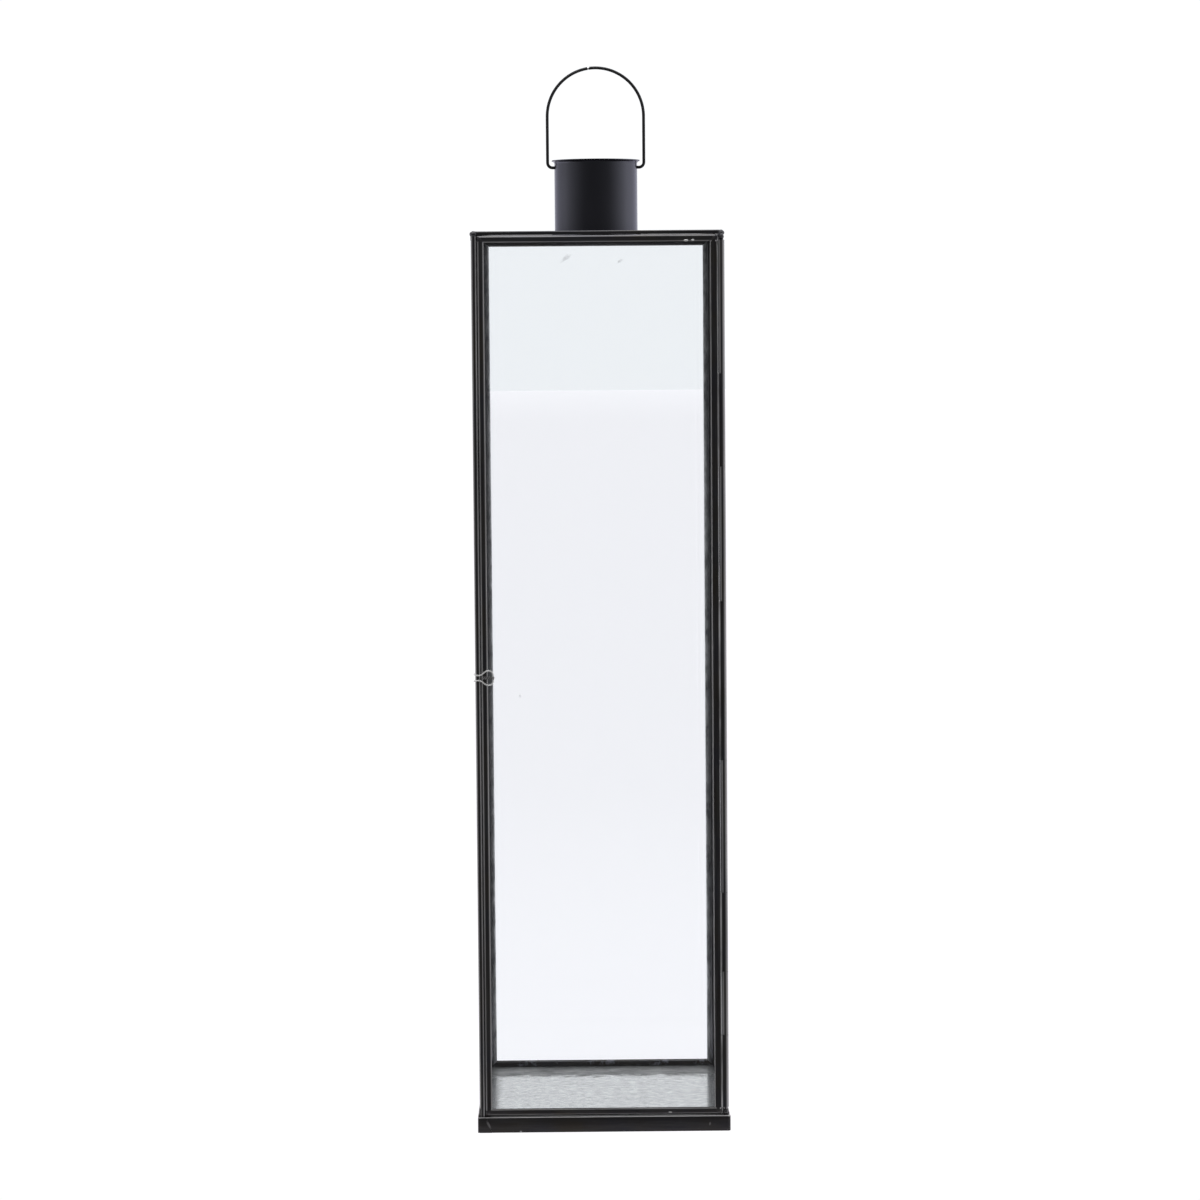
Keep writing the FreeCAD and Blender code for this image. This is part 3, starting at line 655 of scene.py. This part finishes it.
# Each glazed panel: its body, its two uprights and the way it faces
PANELS = (
    ("door", "door_left_stile", "door_right_stile", -BACK),
    ("lantern_body", "left_front_post", "left_rear_post", -RIGHT),
    ("lantern_body", "right_front_post", "right_rear_post", RIGHT),
    ("lantern_body", "back_left_stile", "back_right_stile", BACK),
)


def mitre_solder():
    """Solder on every mitre of the four glazed panels."""
    chance = random.Random(5)
    for body, first, second, out in PANELS:
        form = bmesh.new()
        for node, inward in ((first, 1), (second, -1)):
            low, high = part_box(node)
            across = RIGHT if out.y else BACK
            rim = low if inward > 0 else high
            face = high if out.x > 0 or out.y > 0 else low
            for foot, lift in ((low.z, 1), (high.z, -1)):
                corner = Vector((rim.x, face.y, foot)) if out.y else Vector((face.x, rim.y, foot))
                diagonal = across * inward + UP * lift
                bead(form, corner + diagonal * MITRE_START, corner + diagonal * MITRE_END, out, chance)
        piece(f"{first}_mitre_solder", form, body, "solder")


# A lump's surface strays by this share, in about this many waves to a radius; seeds lie this far apart
LUMP_STRAY = 0.16
LUMP_WAVES = 1.7
LUMP_SEED_STEP = 7.3


def lump(form, at, radii, seed):
    """A rounded, slightly uneven drop, with its radii in millimetres."""
    made = bmesh.ops.create_icosphere(form, subdivisions=3, radius=1.0)
    for vert in made["verts"]:
        stray = noise.noise(vert.co * LUMP_WAVES + RIGHT * (seed * LUMP_SEED_STEP))
        rough = 1 + LUMP_STRAY * stray
        vert.co = at + Vector([part * radius * rough * MM for part, radius in zip(vert.co, radii)])


# The drops on the roof's corners and at the hinge's two ends
CORNER_INSET = 2.2 * MM
CORNER_LIFT = 0.8 * MM
CORNER_RADII = (3.0, 3.0, 2.4)
HINGE_END_GAP = 0.3 * MM
HINGE_END_RADIUS = 2.3


def corner_solder():
    """Lumps where the corner posts meet the roof, and where the hinge's pin ends below and above."""
    form = bmesh.new()
    posts = ("left_front_post", "left_rear_post", "right_front_post", "right_rear_post")
    for number, node in enumerate(posts):
        low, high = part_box(node)
        x = low.x if "left" in node else high.x
        y = low.y if "front" in node else high.y
        inset_x = x - math.copysign(CORNER_INSET, x)
        inset_y = y - math.copysign(CORNER_INSET, y)
        lump(form, Vector((inset_x, inset_y, high.z + CORNER_LIFT)), CORNER_RADII, number)
    post_low, post_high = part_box("right_front_post")
    pin_low, pin_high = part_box("hinge_pin")
    middle = (pin_low + pin_high) / 2
    ends = ((post_low.z, pin_low.z - HINGE_END_GAP), (pin_high.z + HINGE_END_GAP, post_high.z))
    for seed, (low, high) in enumerate(ends, len(posts)):
        radii = (HINGE_END_RADIUS, HINGE_END_RADIUS, (high - low) / 2 / MM)
        lump(form, Vector((middle.x, middle.y, (low + high) / 2)), radii, seed)
    piece("corner_solder", form, "lantern_body", "solder")


# The drops on the door's corners: how far in from the edge, the front and the end
DOOR_DROP_IN = 1.3 * MM
DOOR_DROP_DEEP = 1.25 * MM
DOOR_DROP_UP = 2.9 * MM
DOOR_DROP_RADII = (1.6, 1.4, 2.9)


def door_corner_solder():
    """A drop of solder on each corner of the door."""
    form = bmesh.new()
    for node, inward in (("door_left_stile", 1), ("door_right_stile", -1)):
        low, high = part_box(node)
        edge = low.x if inward > 0 else high.x
        for foot, lift in ((low.z, 1), (high.z, -1)):
            at = Vector((edge + inward * DOOR_DROP_IN, low.y + DOOR_DROP_DEEP, foot + lift * DOOR_DROP_UP))
            seed = lift + 3 * inward
            lump(form, at, DOOR_DROP_RADII, seed)
    piece("door_corner_solder", form, "door", "solder")


# Bright splashes, in millimetres: across from the middle, behind the rail's face and above its lower edge
Splash = namedtuple("Splash", "rail x deep up radii seed")
SPLASHES = (
    Splash("door_top_rail", 69.3, 0.35, 0.7, radii=(2.0, 0.6, 0.8), seed=3),
    Splash("door_top_rail", 74.5, 0.35, 1.0, radii=(1.5, 0.55, 0.6), seed=8),
    Splash("door_bottom_rail", 52.6, 0.0, 2.0, radii=(1.5, 0.2, 0.35), seed=6),
)


def bright_splashes():
    """Small bright splashes of solder left on the door's rails."""
    form = bmesh.new()
    for splash in SPLASHES:
        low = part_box(splash.rail)[0]
        at = Vector((splash.x * MM, low.y + splash.deep * MM, low.z + splash.up * MM))
        lump(form, at, splash.radii, splash.seed)
    piece("bright_splashes", form, "door", "splash")


foot_solder()
mitre_solder()
corner_solder()
door_corner_solder()
bright_splashes()


# The light by depth, from the camera's side at 0 to the far side at 1, and how far it leans to the right
SKY_LEVELS = ((0.0, 0.12), (0.1, 0.17), (0.22, 0.36), (0.42, 0.70), (0.55, 1.0))
RIGHT_LEAN = 0.22
BACKDROP = (1.022, 1.032, 1.047, 1.0)


def studio():
    """White light all round the back and sides, darker on the camera's side, and a plain white backdrop."""
    scene.world = bpy.data.worlds.new("studio")
    scene.world.use_nodes = True
    nodes = Nodes(scene.world.node_tree)
    towards = nodes.axes(nodes.add("ShaderNodeTexCoord").outputs["Generated"])
    sky = nodes.add("ShaderNodeValToRGB", {"Fac": nodes.ramp(towards["Y"], -1.0, 1.0)})
    stops = sky.color_ramp.elements
    for at, level in SKY_LEVELS:
        stop = stops[0] if at == 0.0 else stops.new(at)
        stop.color = rgb(level)
    lean = nodes.ramp(towards["X"], -1.0, 1.0, 1.0 - RIGHT_LEAN, 1.0 + RIGHT_LEAN)
    sided = nodes.add("ShaderNodeVectorMath", {0: sky.outputs["Color"], "Scale": lean}, operation="SCALE")
    # The camera sees the backdrop, and the lantern's surfaces see the graded light
    seen = nodes.add("ShaderNodeLightPath").outputs["Is Camera Ray"]
    colour = nodes.blend(seen, sided.outputs["Vector"], BACKDROP)
    light = nodes.add("ShaderNodeBackground", {"Color": colour}).outputs["Background"]
    nodes.add("ShaderNodeOutputWorld", {"Surface": light})


def softbox(name, at, aim, size, watts):
    """A square lamp that looks at one point."""
    data = bpy.data.lights.new(name, "AREA")
    data.shape = "SQUARE"
    data.size = size
    data.energy = watts
    lamp = bpy.data.objects.new(name, data)
    scene.collection.objects.link(lamp)
    lamp.location = at
    lamp.rotation_euler = (Vector(aim) - Vector(at)).to_track_quat("-Z", "Y").to_euler()


# The floor runs from just before the lantern to far behind it, and lies a little under the base
FLOOR_FRONT = 0.125
FLOOR_BACK = 30.6
FLOOR_DROP = 0.0002
FLOOR_MATT = 0.14
# Its glow, the depths between which that dims, and the paler strip at its far edge
FLOOR_GLOW = (0.985, 0.968, 0.995, 1.0)
FLOOR_DIMS = (0.2, 2.0)
FLOOR_FAR_GLOW = 0.955
FLOOR_EDGE_GLOW = 0.075
FLOOR_EDGE_START = FLOOR_BACK * 0.67


def floor():
    """A white floor with a faint glow, dimmer behind the lantern and paler again at its far edge."""
    half = (FLOOR_FRONT + FLOOR_BACK) / 2
    form = bmesh.new()
    bmesh.ops.create_grid(form, x_segments=8, y_segments=8, size=half)
    bmesh.ops.translate(form, verts=form.verts, vec=(0, half - FLOOR_FRONT, 0))
    mesh = bpy.data.meshes.new("floor")
    form.to_mesh(mesh)
    form.free()
    ground = bpy.data.objects.new("floor", mesh)
    scene.collection.objects.link(ground)
    ground.location = -UP * FLOOR_DROP
    sh = Shader("floor_white")
    depth = sh.axes(sh.place)["Y"]
    edge = sh.ramp(depth, FLOOR_EDGE_START, FLOOR_BACK, 0.0, FLOOR_EDGE_GLOW)
    strength = sh.math("ADD", sh.ramp(depth, *FLOOR_DIMS, 1.0, FLOOR_FAR_GLOW), edge)
    glow = sh.add("ShaderNodeEmission", {"Color": FLOOR_GLOW, "Strength": strength}).outputs["Emission"]
    matt = sh.add("ShaderNodeBsdfDiffuse", {"Color": rgb(FLOOR_MATT)}).outputs["BSDF"]
    mesh.materials.append(sh.result(sh.add("ShaderNodeAddShader", {0: glow, 1: matt}).outputs["Shader"]))


# The camera: its place in millimetres, its turn in degrees, and its lens
CAMERA_PLACE = (-17.757, -2965.075, 642.11)
CAMERA_YAW = 0.356
CAMERA_PITCH = -4.375
CAMERA_ROLL = -0.454
LENS = 109.94
SENSOR = 36.0


def camera():
    """The camera stands where the photograph was taken."""
    data = bpy.data.cameras.new("camera")
    data.sensor_width = SENSOR
    data.lens = LENS
    data.clip_start = 0.1
    data.clip_end = 200.0
    stand = bpy.data.objects.new("camera", data)
    scene.collection.objects.link(stand)
    yaw = math.radians(CAMERA_YAW)
    pitch = math.radians(CAMERA_PITCH)
    roll = math.radians(CAMERA_ROLL)
    ahead = Vector((math.sin(yaw) * math.cos(pitch), math.cos(yaw) * math.cos(pitch), math.sin(pitch)))
    level = ahead.cross(UP).normalized()
    steep = level.cross(ahead)
    across = level * math.cos(roll) + steep * math.sin(roll)
    above = steep * math.cos(roll) - level * math.sin(roll)
    turn = Matrix((across, above, -ahead)).transposed()
    stand.matrix_world = Matrix.Translation(Vector(CAMERA_PLACE) * MM) @ turn.to_4x4()
    scene.camera = stand


studio()
floor()
softbox("top_box", at=(0, -0.1, 2.6), aim=(0, 0, 0.5), size=1.6, watts=12)
softbox("front_box", at=(-0.5, -1.3, 2.3), aim=(0, 0, 0.45), size=0.8, watts=5)
camera()
